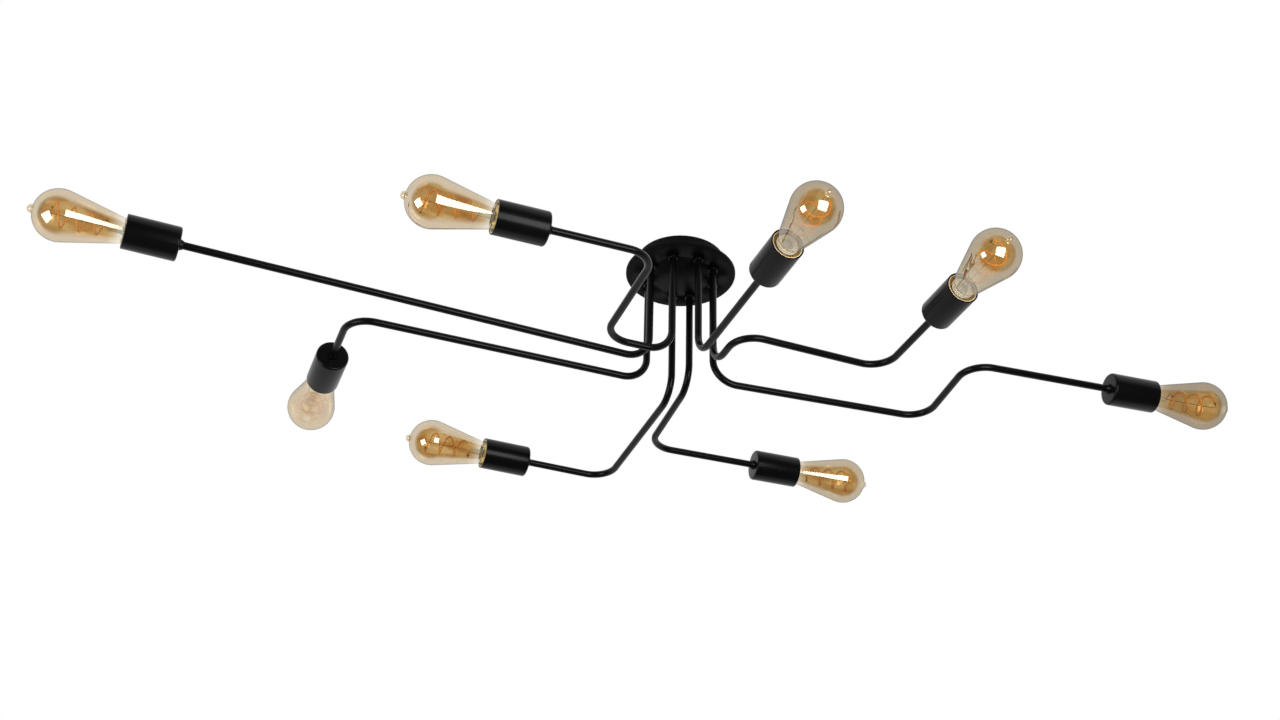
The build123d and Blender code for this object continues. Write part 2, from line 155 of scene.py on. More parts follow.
def turnedBrass(name, first, second, metal, roughness):
    # brass cut on a lathe: rings of tool marks round the axis, a little olive tarnish
    mark = 0.9 * mm  # tool marks are finer, drawn coarser so that they show
    waveFactor = 20  # the wave texture's own factor on its scale
    tarnish = 9 * mm
    finish, tree, shader, place = newFinish(name, onLathe=True, Metallic=metal, Roughness=roughness)
    stains = addNode(tree, "ShaderNodeTexNoise", {"Vector": place, "Scale": 1 / tarnish, "Detail": 4.0})
    addNode(
        tree,
        "ShaderNodeMix",
        {"Factor": stains.outputs["Fac"], "A": linear(first), "B": linear(second)},
        shader.inputs["Base Color"],
        data_type="RGBA",
    )
    rings = addNode(
        tree,
        "ShaderNodeTexWave",
        {"Vector": place, "Scale": 1 / mark / waveFactor, "Distortion": 0.4},
        bands_direction="Z",
    )
    addNode(
        tree,
        "ShaderNodeBump",
        {"Height": rings.outputs["Fac"], "Strength": 0.08, "Distance": 0.05 * mm},
        shader.inputs["Normal"],
    )
    return finish


def zincPlate():
    # bright zinc on pressed steel: bluish silver, faintly mottled by the bath
    mottle = 6 * mm
    finish, tree, shader, place = newFinish("brightZincPlate", Metallic=1.0)
    cells = addNode(tree, "ShaderNodeTexVoronoi", {"Vector": place, "Scale": 1 / mottle}).outputs["Distance"]
    addNode(
        tree,
        "ShaderNodeMix",
        {"Factor": cells, "A": linear("#c3c8cc"), "B": linear("#a9aeb4")},
        shader.inputs["Base Color"],
        data_type="RGBA",
    )
    addNode(
        tree,
        "ShaderNodeMapRange",
        {"Value": cells, "To Min": 0.26, "To Max": 0.42},
        shader.inputs["Roughness"],
    )
    return finish


def mouldedFinish(name, first, second, roughness, grain):
    # moulded, extruded or cast in one colour: a fine grain from the tool, slightly uneven in tone
    finish, tree, shader, place = newFinish(name, Roughness=roughness, IOR=1.5)
    speckle = addNode(tree, "ShaderNodeTexNoise", {"Vector": place, "Scale": 1 / grain, "Detail": 3.0})
    addNode(
        tree,
        "ShaderNodeMix",
        {"Factor": speckle.outputs["Fac"], "A": linear(first), "B": linear(second)},
        shader.inputs["Base Color"],
        data_type="RGBA",
    )
    addNode(
        tree,
        "ShaderNodeBump",
        {"Height": speckle.outputs["Fac"], "Strength": 0.2, "Distance": 0.05 * mm},
        shader.inputs["Normal"],
    )
    return finish


def seeThrough(tree, share, tint, shader):
    # a wall too thin to bend light: what lies behind it is tinted, and a share is mirrored
    film = addNode(tree, "ShaderNodeBsdfTransparent", {"Color": tint}).outputs["BSDF"]
    surface = tree.nodes["Material Output"].inputs["Surface"]
    addNode(tree, "ShaderNodeMixShader", {0: share, 1: film, 2: shader.outputs["BSDF"]}, surface)


def lustreGlass():
    # thin blown glass with a gold lustre: amber to look through, a pale mirror where it is seen aslant, with
    # the see-through tint painted pale there too as a painted reflection of the white backdrop; clear at the
    # neck and thin on the pip where the coat runs out, with a grey line where it is edge on
    coat = {"clearUntil": 64 * mm, "fullFrom": 96 * mm, "drift": 12 * mm, "driftSize": 26 * mm,
            "fullTo": 171 * mm, "bareFrom": 174 * mm, "atPip": 0.5}
    streak = {"size": 13 * mm, "drawn": (1.0, 1.0, 0.25), "from": 0.36, "to": 0.62}
    mirror = {"from": 0.12, "to": 0.42, "bare": 0.05, "facing": 0.16, "aslant": 0.36, "dull": 0.13}
    rim = {"from": 0.6, "to": 0.96}
    finish, tree, shader, place = newFinish(
        "goldLustreGlass", onLathe=True, Base_Color=linear("#fdf7e8"), Metallic=1.0, Roughness=0.02
    )
    height = addNode(tree, "ShaderNodeSeparateXYZ", {"Vector": place}).outputs["Z"]
    slant = addNode(tree, "ShaderNodeLayerWeight").outputs["Facing"]
    # no two bulbs are coated quite alike: a duller one mirrors less and takes more of the light
    dullness = addNode(tree, "ShaderNodeAttribute", attribute_name="dullness").outputs["Fac"]
    clouds = addNode(
        tree, "ShaderNodeTexNoise", {"Vector": place, "Scale": 1 / coat["driftSize"], "Detail": 1.0}
    )
    drift = addNode(
        tree,
        "ShaderNodeMath",
        {0: clouds.outputs["Fac"], 1: coat["drift"], 2: height},
        operation="MULTIPLY_ADD",
    )
    coated = addNode(
        tree,
        "ShaderNodeMapRange",
        {"Value": drift.outputs["Value"], "From Min": coat["clearUntil"], "From Max": coat["fullFrom"]},
        interpolation_type="SMOOTHSTEP",
    )
    sealed = addNode(
        tree,
        "ShaderNodeMapRange",
        {"Value": height, "From Min": coat["bareFrom"], "From Max": coat["fullTo"], "To Min": coat["atPip"]},
    )
    gilt = addNode(
        tree,
        "ShaderNodeMath",
        {0: coated.outputs["Result"], 1: sealed.outputs["Result"]},
        operation="MINIMUM",
    ).outputs["Value"]
    edge = addNode(
        tree,
        "ShaderNodeMapRange",
        {"Value": slant, "From Min": rim["from"], "From Max": rim["to"], "To Max": gilt},
        interpolation_type="SMOOTHSTEP",
    )
    turned = addNode(
        tree,
        "ShaderNodeMapRange",
        {"Value": slant, "From Min": mirror["from"], "From Max": mirror["to"]},
        interpolation_type="SMOOTHSTEP",
    ).outputs["Result"]
    drawn = addNode(tree, "ShaderNodeMapping", {"Vector": place, "Scale": streak["drawn"]}).outputs["Vector"]
    bands = addNode(
        tree, "ShaderNodeTexNoise", {"Vector": drawn, "Scale": 1 / streak["size"], "Detail": 1.5}
    )
    streaks = addNode(
        tree,
        "ShaderNodeMapRange",
        {"Value": bands.outputs["Fac"], "From Min": streak["from"], "From Max": streak["to"]},
        interpolation_type="SMOOTHSTEP",
    )
    amber = addNode(
        tree,
        "ShaderNodeMix",
        {"Factor": streaks.outputs["Result"], "A": linear("#d0a868"), "B": linear("#ecd7ac")},
        data_type="RGBA",
    )
    facing = addNode(
        tree,
        "ShaderNodeMix",
        {"Factor": dullness, "A": amber.outputs["Result"], "B": linear("#dabf8b")},
        data_type="RGBA",
    )
    # the aslant tint is pale: a painted reflection of the white backdrop, darker on a duller bulb
    aslant = addNode(
        tree,
        "ShaderNodeMix",
        {"Factor": dullness, "A": linear("#d9c9ad"), "B": linear("#9c8f78")},
        data_type="RGBA",
    )
    gold = addNode(
        tree,
        "ShaderNodeMix",
        {"Factor": turned, "A": facing.outputs["Result"], "B": aslant.outputs["Result"]},
        data_type="RGBA",
    )
    tone = addNode(
        tree,
        "ShaderNodeMix",
        {"Factor": gilt, "A": linear("#fafbfa"), "B": gold.outputs["Result"]},
        data_type="RGBA",
    )
    shaded = addNode(
        tree,
        "ShaderNodeMix",
        {"Factor": edge.outputs["Result"], "A": tone.outputs["Result"], "B": linear("#6f675a")},
        data_type="RGBA",
    )
    least = addNode(
        tree, "ShaderNodeMapRange", {"Value": gilt, "To Min": mirror["bare"], "To Max": mirror["facing"]}
    )
    most = addNode(
        tree, "ShaderNodeMapRange", {"Value": dullness, "To Min": mirror["aslant"], "To Max": mirror["dull"]}
    )
    share = addNode(
        tree,
        "ShaderNodeMapRange",
        {"Value": turned, "To Min": least.outputs["Result"], "To Max": most.outputs["Result"]},
    )
    seeThrough(tree, share.outputs["Result"], shaded.outputs["Result"], shader)
    return finish


def clearGlass():
    # drawn lead glass of the bulb's stem: clear and faintly milky, with draw lines along it
    line = {"size": 3 * mm, "drawn": (1.0, 1.0, 0.1)}
    finish, tree, shader, place = newFinish(
        "clearStemGlass", onLathe=True, Base_Color=linear("#e9ecec"), Roughness=0.12
    )
    drawn = addNode(tree, "ShaderNodeMapping", {"Vector": place, "Scale": line["drawn"]}).outputs["Vector"]
    lines = addNode(tree, "ShaderNodeTexNoise", {"Vector": drawn, "Scale": 1 / line["size"], "Detail": 1.0})
    addNode(
        tree,
        "ShaderNodeBump",
        {"Height": lines.outputs["Fac"], "Strength": 0.15, "Distance": 0.1 * mm},
        shader.inputs["Normal"],
    )
    slant = addNode(tree, "ShaderNodeLayerWeight").outputs["Facing"]
    share = addNode(tree, "ShaderNodeMapRange", {"Value": slant, "To Min": 0.14, "To Max": 0.55})
    seeThrough(tree, share.outputs["Result"], linear("#eef1f0"), shader)
    return finish


def sealGlass():
    # milky sealing glass under the bulb's neck: white from in front, aslant a brass-yellow metal that is a
    # painted reflection of the holder's brass
    cloud = 6 * mm
    finish, tree, shader, place = newFinish("milkySealGlass", onLathe=True, Roughness=0.25)
    clouds = addNode(tree, "ShaderNodeTexNoise", {"Vector": place, "Scale": 1 / cloud, "Detail": 3.0})
    white = addNode(
        tree,
        "ShaderNodeMix",
        {"Factor": clouds.outputs["Fac"], "A": linear("#fbfdfd"), "B": linear("#f1f5f6")},
        data_type="RGBA",
    )
    slant = addNode(tree, "ShaderNodeLayerWeight").outputs["Facing"]
    mirrored = addNode(
        tree,
        "ShaderNodeMapRange",
        {"Value": slant, "From Min": 0.48, "From Max": 0.72},
        shader.inputs["Metallic"],
        interpolation_type="SMOOTHSTEP",
    )
    # the brass yellow aslant is a painted reflection, not the glass's own colour
    addNode(
        tree,
        "ShaderNodeMix",
        {"Factor": mirrored.outputs["Result"], "A": white.outputs["Result"], "B": linear("#ecd274")},
        shader.inputs["Base Color"],
        data_type="RGBA",
    )
    return finish


def filamentCoat():
    # silicone with orange phosphor round a chain of small diodes, which shows as a beaded tone; a faint
    # painted glow keeps it bright though the bulb is unlit
    diode = 1.8 * mm
    finish, tree, shader, place = newFinish(
        "orangePhosphorSilicone", onLathe=True, Roughness=0.45, IOR=1.43, Subsurface_Weight=0.2,
        Subsurface_Scale=0.8 * mm, Emission_Color=linear("#ffd090"), Emission_Strength=0.08,
    )
    beads = addNode(tree, "ShaderNodeTexVoronoi", {"Vector": place, "Scale": 1 / diode})
    addNode(
        tree,
        "ShaderNodeMix",
        {"Factor": beads.outputs["Distance"], "A": linear("#f4cd9c"), "B": linear("#e6b278")},
        shader.inputs["Base Color"],
        data_type="RGBA",
    )
    return finish


def plainMetal(name, colour, roughness, grain):
    # drawn or dipped metal: even, with a slightly broken sheen
    spread = 0.08
    finish, tree, shader, place = newFinish(name, onLathe=True, Base_Color=linear(colour), Metallic=1.0)
    patches = addNode(tree, "ShaderNodeTexNoise", {"Vector": place, "Scale": 1 / grain, "Detail": 2.0})
    addNode(
        tree,
        "ShaderNodeMapRange",
        {"Value": patches.outputs["Fac"], "To Min": roughness - spread, "To Max": roughness + spread},
        shader.inputs["Roughness"],
    )
    return finish


blackCoat = powderCoat("satinBlackPowderCoat", specular=0.14, smoothest=0.22, roughest=0.3)
mattCoat = powderCoat("mattBlackPowderCoat", specular=0.06, smoothest=0.5, roughest=0.6)
# one brass in two copies: a pale one as painted light for the liner and the socket's ring, a dark one as
# painted shade for the floor deep in the sleeve's mouth
litLinerBrass = turnedBrass("litSleeveBrass", "#f2e6c6", "#e8d8ac", metal=0.3, roughness=0.38)
shadedFloorBrass = turnedBrass("shadedHolderBrass", "#9a7532", "#7a5a24", metal=0.3, roughness=0.4)
capBrass = turnedBrass("rolledCapBrass", "#d8bd84", "#c2a263", metal=1.0, roughness=0.28)
zinc = zincPlate()
whiteNylon = mouldedFinish("mouldedWhiteNylon", "#ece9df", "#e0dccf", roughness=0.5, grain=3 * mm)
blackPhenolic = mouldedFinish("mouldedBlackPhenolic", "#211d1b", "#2b2624", roughness=0.42, grain=4 * mm)
leadSheath = mouldedFinish("extrudedLeadSheath", "#1d1c1b", "#262423", roughness=0.55, grain=5 * mm)
capInsulator = mouldedFinish("castBlackGlass", "#17140f", "#221d16", roughness=0.15, grain=5 * mm)
bulbGlassCoat = lustreGlass()
milkySeal = sealGlass()
stemGlass = clearGlass()
phosphor = filamentCoat()
nickelWire = plainMetal("drawnNickelWire", "#b9b4aa", roughness=0.3, grain=4 * mm)
tinSolder = plainMetal("dippedTinSolder", "#c9c8c4", roughness=0.4, grain=2 * mm)
finishOfSlot = {
    "black_coat": blackCoat,
    "zinc_steel": zinc,
    "white_nylon": whiteNylon,
    "brass": capBrass,
    "lead_sheath": leadSheath,
    "black_phenolic": blackPhenolic,
    "cap_metal": capBrass,
    "amber_glass": bulbGlassCoat,
    "filament": phosphor,
}
print("finishes made:", len(bpy.data.materials))


# Modelling helpers: an outline turned on the lathe, and a tube bent round its corners
weld = 0.001 * mm
upright = {"cent": (0, 0, 0), "axis": (0, 0, 1)}


def madeSince(bm, older):
    return [vert for vert in bm.verts if vert not in older]


def edgesOf(verts):
    return list({edge for vert in verts for edge in vert.link_edges})


def facesOf(verts):
    return list({face for vert in verts for face in vert.link_faces})


def settle(bm, older, finish, place=None):
    # welds what was just made, turns its faces outwards and puts it in place
    bmesh.ops.remove_doubles(bm, verts=madeSince(bm, older), dist=weld)
    verts = madeSince(bm, older)
    faces = facesOf(verts)
    bmesh.ops.recalc_face_normals(bm, faces=faces)
    for face in faces:
        face.material_index = finish
    if place:
        bmesh.ops.transform(bm, matrix=place, verts=verts)
    return verts


def lathe(bm, outline, steps, closed=False, finish=0, arcSteps=8, place=None):
    # an outline is a point (radius, height), then points or arcs (centre radius, height, degrees), in mm
    older = set(bm.verts)
    (radius, height), *moves = outline
    first = tip = bm.verts.new((radius * mm, 0, height * mm))
    for move in moves:
        if len(move) == 2:
            tip = bmesh.ops.extrude_vert_indiv(bm, verts=[tip])["verts"][0]
            tip.co = (move[0] * mm, 0, move[1] * mm)
        else:
            arc = bmesh.ops.spin(
                bm, geom=[tip], cent=(move[0] * mm, 0, move[1] * mm), axis=(0, -1, 0),
                angle=radians(move[2]), steps=arcSteps,
            )
            tip = arc["geom_last"][0]
    if closed:
        bm.edges.new((tip, first))
    verts = madeSince(bm, older)
    bmesh.ops.spin(bm, geom=verts + edgesOf(verts), **upright, angle=2 * pi, steps=steps, use_merge=True)
    settle(bm, older, finish, place)


def closeEnds(bm, verts, finish):
    rims = [edge for edge in edgesOf(verts) if edge.is_boundary]
    for face in bmesh.ops.holes_fill(bm, edges=rims, sides=0)["faces"]:
        face.material_index = finish


def bentTube(bm, corners, radius, bendRadius, sides, bendSteps, finish=0, wall=None):
    # a ring is drawn along each run and spun round each corner
    older = set(bm.verts)
    here = corners[0]
    heading = (corners[1] - here).normalized()
    place = Matrix.Translation(here) @ heading.to_track_quat("Z", "Y").to_matrix().to_4x4()
    verts = bmesh.ops.create_circle(bm, radius=radius, segments=sides, matrix=place)["verts"]
    ring = verts + edgesOf(verts)
    for corner, beyond in zip(corners[1:], [*corners[2:], None]):
        turn = heading.angle(beyond - corner) if beyond else 0
        stop = corner - heading * bendRadius * tan(turn / 2)
        edges = [part for part in ring if isinstance(part, bmesh.types.BMEdge)]
        drawn = bmesh.ops.extrude_edge_only(bm, edges=edges)["geom"]
        ring = [part for part in drawn if not isinstance(part, bmesh.types.BMFace)]
        ends = [part for part in ring if isinstance(part, bmesh.types.BMVert)]
        bmesh.ops.translate(bm, verts=ends, vec=stop - here)
        if beyond:
            onward = (beyond - corner).normalized()
            axis = heading.cross(onward)
            inward = axis.cross(heading).normalized()
            spun = bmesh.ops.spin(
                bm, geom=ring, cent=stop + inward * bendRadius, axis=axis, angle=turn, steps=bendSteps
            )
            ring = spun["geom_last"]
            here = corner + onward * bendRadius * tan(turn / 2)
            heading = onward
    made = settle(bm, older, finish)
    if wall:
        bmesh.ops.solidify(bm, geom=facesOf(made), thickness=wall)
    else:
        closeEnds(bm, made, finish)


def meshOf(name, bm, finishes, sharpAngle=38):
    mesh = bpy.data.meshes.new(name)
    bm.to_mesh(mesh)
    bm.free()
    mesh.shade_smooth()
    mesh.set_sharp_from_angle(angle=radians(sharpAngle))
    for finish in finishes:
        mesh.materials.append(finish)
    # patterns that follow a turned piece read where each point lay on the lathe
    place = mesh.attributes.new("lampPlace", "FLOAT_VECTOR", "POINT")
    place.data.foreach_set("vector", [value for vert in mesh.vertices for value in vert.co])
    return mesh


def addPiece(name, mesh, body, slot, *stoodFor):
    piece = bpy.data.objects.new(name, mesh)
    scene.collection.objects.link(piece)
    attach(piece, body)
    if stoodFor:
        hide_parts(*stoodFor)
    return piece


def addCanopyPiece(name, bm, finish, slot, *stoodFor):
    return addPiece(name, meshOf(name, bm, [finish]), "canopy", slot, *stoodFor)


# Arms: stem angle on the ring, drop below the plate, swivel from square, turn of the bulb and how dull its
# coat is, and the level runs to the back of the lampholder, corner to corner
compass = {"W": (-1, 0), "E": (1, 0), "N": (0, 1), "S": (0, -1)}
arms = {
    "a": dict(stem=190.5, drop=153.0, swivel=2.0, turn=20, dull=0.0, runs=[("W", 614.5)]),
    "b": dict(stem=137.0, drop=159.0, swivel=-0.25, turn=75, dull=0.0, runs=[("W", 402.0), ("N", 97.5)]),
    "c": dict(stem=235.5, drop=155.0, swivel=-0.2, turn=130, dull=0.0,
              runs=[("W", 94.5), ("S", 191.5), ("W", 138.0)]),
    "d": dict(stem=81.5, drop=162.0, swivel=0.2, turn=200, dull=0.0, runs=[("N", 251.5), ("W", 123.5)]),
    "e": dict(stem=53.0, drop=147.0, swivel=-2.8, turn=255, dull=0.3, runs=[("N", 174.5), ("E", 159.5)]),
    "f": dict(stem=278.5, drop=159.0, swivel=0.9, turn=310, dull=0.5, runs=[("S", 203.5)]),
    "g": dict(stem=315.5, drop=158.0, swivel=1.2, turn=45, dull=0.45,
              runs=[("S", 84.5), ("E", 207.0), ("S", 135.5)]),
    "h": dict(stem=0.0, drop=159.0, swivel=-4.6, turn=100, dull=0.65,
              runs=[("E", 304.0), ("S", 144.5), ("E", 201.0)]),
}
stemRing = 47.8
tube = {"radius": 4.8, "bore": 3.8, "bend": 34.0, "top": -16.0, "reach": 11.0, "hold": 0.2, "sides": 28,
        "bendSteps": 18}
plate = {"bottom": -25.0, "radius": 75.0, "sheet": 1.5, "rim": 5.0, "edge": 3.0, "flat": 68.0,
         "holeGap": 0.05, "seam": 0.01, "holeSteps": 32, "steps": 144}


def polar(radius, angle, height=0.0):
    return Vector((radius * cos(radians(angle)), radius * sin(radians(angle)), height)) * mm


def armCorners(arm):
    low = plate["bottom"] - arm["drop"]
    points = [polar(stemRing, arm["stem"], tube["top"]), polar(stemRing, arm["stem"], low)]
    swing = Matrix.Rotation(radians(arm["swivel"]), 3, "Z")
    for heading, length in arm["runs"]:
        points.append(points[-1] + swing @ Vector((*compass[heading], 0)) * length * mm)
    return points


def lampPlacement(arm, turn=0):
    # Z along the lamp from the sleeve's back, X turned from straight up
    corners = armCorners(arm)
    along = (corners[-1] - corners[-2]).normalized()
    upward = Matrix.Rotation(radians(turn), 3, along) @ Vector((0, 0, 1))
    sideways = along.cross(upward)
    return Matrix.Translation(corners[-1]) @ Matrix((upward, sideways, along)).transposed().to_4x4()


# Canopy plate: a pressed dish with a hole for each stem

def makePlate():
    bm = bmesh.new()
    bottom, edge, flat = plate["bottom"], plate["edge"], plate["flat"]
    middle = Matrix.Translation((0, 0, bottom * mm))
    bmesh.ops.create_circle(bm, radius=flat * mm, segments=plate["steps"], matrix=middle)
    hole = tube["radius"] + plate["holeGap"]
    for arm in arms.values():
        place = Matrix.Translation(polar(stemRing, arm["stem"], bottom))
        bmesh.ops.create_circle(bm, radius=hole * mm, segments=plate["holeSteps"], matrix=place)
    bmesh.ops.triangle_fill(bm, use_beauty=True, edges=bm.edges[:])
    corner = plate["radius"] - edge
    outline = [
        (flat, bottom),
        (corner, bottom),
        (corner, bottom + edge, 90),
        (plate["radius"], bottom + plate["rim"]),
    ]
    lathe(bm, outline, plate["steps"])
    bmesh.ops.remove_doubles(bm, verts=bm.verts[:], dist=plate["seam"] * mm)
    bmesh.ops.recalc_face_normals(bm, faces=bm.faces[:])
    if sum(face.normal.z * face.calc_area() for face in bm.faces) > 0:
        bmesh.ops.reverse_faces(bm, faces=bm.faces[:])
    piece = addCanopyPiece("canopyPlate", bm, mattCoat, "black_coat", "canopy_plate")
    wall = piece.modifiers.new("sheet", "SOLIDIFY")
    wall.thickness = plate["sheet"] * mm
    wall.offset = -1
    wall.use_even_offset = True


# Studs welded on the plate: four for the cup, a longer one for the earth lug
studs = {"ring": 53.0, "angles": (26.5, 109.0, 213.0, 297.0), "radius": 2.0, "height": 8.0,
         "earthRadius": 2.5, "earthTop": -3.0, "tip": 0.4, "steps": 24}


def makeStuds():
    bm = bmesh.new()
    foot, tip = plate["bottom"] + plate["sheet"], studs["tip"]
    cupStud = (studs["radius"], foot + studs["height"])
    posts = [(polar(studs["ring"], angle), *cupStud) for angle in studs["angles"]]
    posts.append((Vector(), studs["earthRadius"], studs["earthTop"]))
    for place, radius, top in posts:
        outline = [(0, foot), (radius, foot), (radius, top - tip), (radius - tip, top), (0, top)]
        lathe(bm, outline, studs["steps"], place=Matrix.Translation(place))
    addCanopyPiece("plateStuds", bm, zinc, "zinc_steel")


# Canopy cup: the wall between plate and ceiling, with four tabs turned in at its foot
cup = {"radius": 60.0, "sheet": 1.2, "edge": 0.4, "tabInner": 49.0, "tabWidth": 9.0, "tabRounding": 2.0,
       "tabSteps": 5, "edgeSteps": 4, "steps": 144}


def makeCup():
    bm = bmesh.new()
    foot, edge = plate["bottom"] + plate["sheet"], cup["edge"]
    outer, inner = cup["radius"], cup["radius"] - cup["sheet"]
    outline = [
        (outer, foot),
        (outer, -edge),
        (outer - edge, -edge, 90),
        (inner + edge, 0),
        (inner + edge, -edge, 90),
        (inner, foot),
    ]
    lathe(bm, outline, cup["steps"], closed=True, arcSteps=cup["edgeSteps"])
    length = inner - cup["tabInner"]
    for angle in studs["angles"]:
        older = set(bm.verts)
        tab = bmesh.ops.create_cube(bm, size=1)["verts"]
        bmesh.ops.scale(bm, vec=Vector((length, cup["tabWidth"], cup["sheet"])) * mm, verts=tab)
        corners = []
        for side in edgesOf(tab):
            start, end = (vert.co for vert in side.verts)
            if start.x < 0 and abs((start - end).z) > cup["sheet"] / 2 * mm:
                corners.append(side)
        bmesh.ops.bevel(
            bm, geom=corners, offset=cup["tabRounding"] * mm, segments=cup["tabSteps"], profile=0.5,
            affect="EDGES", material=-1,
        )
        place = Matrix.Translation(polar(cup["tabInner"] + length / 2, angle, foot + cup["sheet"] / 2))
        settle(bm, older, 0, place @ Matrix.Rotation(radians(angle), 4, "Z"))
    addCanopyPiece("canopyCup", bm, mattCoat, "black_coat", "canopy_cup")


# Side screws: pan heads with a round driver recess, through the cup into the bracket's ears
screw = {"headRadius": 3.6, "head": 2.2, "dome": 1.3, "recessRadius": 1.5, "recess": 1.3, "bevel": 0.3,
         "taper": 0.8, "shankRadius": 2.0, "tip": 52.0, "height": -7.0, "steps": 32}


def makeSideScrews():
    bm = bmesh.new()
    shank = cup["radius"] - screw["tip"]
    head, recess, bevel = screw["head"], screw["recessRadius"], screw["bevel"]
    rim = head - screw["dome"]
    floor = head - screw["recess"]
    outline = [
        (0, -shank),
        (screw["shankRadius"], -shank),
        (screw["shankRadius"], 0),
        (screw["headRadius"], 0),
        (screw["headRadius"], rim),
        (screw["headRadius"] - screw["dome"], rim, 90),
        (recess + bevel, head),
        (recess, head - bevel),
        (recess * screw["taper"], floor),
        (0, floor - bevel),
    ]
    for side in (-1, 1):
        turn = Matrix.Rotation(radians(90 * side), 4, "Y")
        place = Matrix.Translation(Vector((side * cup["radius"], 0, screw["height"])) * mm) @ turn
        lathe(bm, outline, screw["steps"], place=place)
    addCanopyPiece("sideScrews", bm, blackCoat, "black_coat", "side_screws")


# Collars: turned rings under the plate, one round each stem
collar = {"radius": 6.6, "bore": 4.85, "height": 5.0, "rounding": 1.2, "steps": 40}


def makeCollars():
    bm = bmesh.new()
    top, low = plate["bottom"], plate["bottom"] - collar["height"]
    outer, rounding = collar["radius"], collar["rounding"]
    outline = [
        (collar["bore"], top),
        (outer, top),
        (outer, low + rounding),
        (outer - rounding, low + rounding, -90),
        (collar["bore"], low),
    ]
    for arm in arms.values():
        place = Matrix.Translation(polar(stemRing, arm["stem"]))
        lathe(bm, outline, collar["steps"], closed=True, place=place)
    addCanopyPiece("stemCollars", bm, blackCoat, "black_coat", "stem_collars")


# Leads: out of each stem, level and a little round the canopy, into the terminal block
lead = {"radius": 1.5, "start": -20.0, "height": -10.0, "bend": 6.0, "turnRadius": 30.0,
        "turn": 25.0, "blockRadius": 18.0, "sides": 14, "bendSteps": 10}


def makeLeads():
    bm = bmesh.new()
    for arm in arms.values():
        away = arm["stem"] + lead["turn"]
        route = [
            polar(stemRing, arm["stem"], lead["start"]),
            polar(stemRing, arm["stem"], lead["height"]),
            polar(lead["turnRadius"], away, lead["height"]),
            polar(lead["blockRadius"], away, lead["height"]),
        ]
        bentTube(bm, route, lead["radius"] * mm, lead["bend"] * mm, lead["sides"], lead["bendSteps"])
    addCanopyPiece("armLeads", bm, leadSheath, "lead_sheath", "arm_leads")


makePlate()
makeStuds()
makeCup()
makeSideScrews()
makeCollars()
makeLeads()
print("canopy made")


# Arm tubes: bent steel tube, a bead that holds it in the canopy, a ferrule at the lampholder
ferrule = {"length": 5.0, "small": 5.4, "large": 7.0, "rounding": 1.0, "steps": 40}
bead = {"low": -18.65, "height": 1.5, "radius": 6.8, "rounding": 0.5, "roundingSteps": 4, "steps": 40}


def makeArmTube(key, arm):
    bm = bmesh.new()
    placement = lampPlacement(arm)
    end = placement @ Vector((0, 0, tube["reach"] * mm))
    route = [*armCorners(arm)[:-1], end]
    wall = (tube["radius"] - tube["bore"]) * mm
    bentTube(bm, route, tube["radius"] * mm, tube["bend"] * mm, tube["sides"], tube["bendSteps"], wall=wall)
    hold = tube["radius"] - tube["hold"]
    outline = [
        (hold, -ferrule["length"]),
        (ferrule["small"], -ferrule["length"]),
        (ferrule["large"], -ferrule["rounding"]),
        (ferrule["large"], 0.0),
        (hold, 0.0),
    ]
    lathe(bm, outline, ferrule["steps"], closed=True, place=placement)
    low, rounding = bead["low"], bead["rounding"]
    top, inset = low + bead["height"], bead["radius"] - rounding
    outline = [
        (hold, low),
        (inset, low),
        (inset, low + rounding, 90),
        (bead["radius"], top - rounding),
        (inset, top - rounding, 90),
        (hold, top),
    ]
    place = Matrix.Translation(polar(stemRing, arm["stem"]))
    lathe(bm, outline, bead["steps"], closed=True, arcSteps=bead["roundingSteps"], place=place)
    mesh = meshOf(f"armTube_{key}", bm, [blackCoat])
    addPiece(f"armTube_{key}", mesh, f"arm_{key}", "black_coat", f"arm_tube_{key}")


# Lampholder sleeve: spun steel cup coated black, a brass liner that ends in a ring, and a floor in painted
# shade
sleeve = {"radius": 21.5, "length": 65.5, "sheet": 1.2, "back": 1.5, "rounding": 3.0, "lip": 0.4,
          "hole": 4.85, "mouth": 19.6, "mouthDepth": 1.4, "steps": 96}
liner = {"gap": 0.03, "sheet": 0.3, "start": 40.0, "front": 65.0, "edge": 0.3, "outer": 19.5, "inner": 18.4,
         "step": 63.4, "floor": 62.6, "floorInner": 14.8, "edgeSteps": 4}


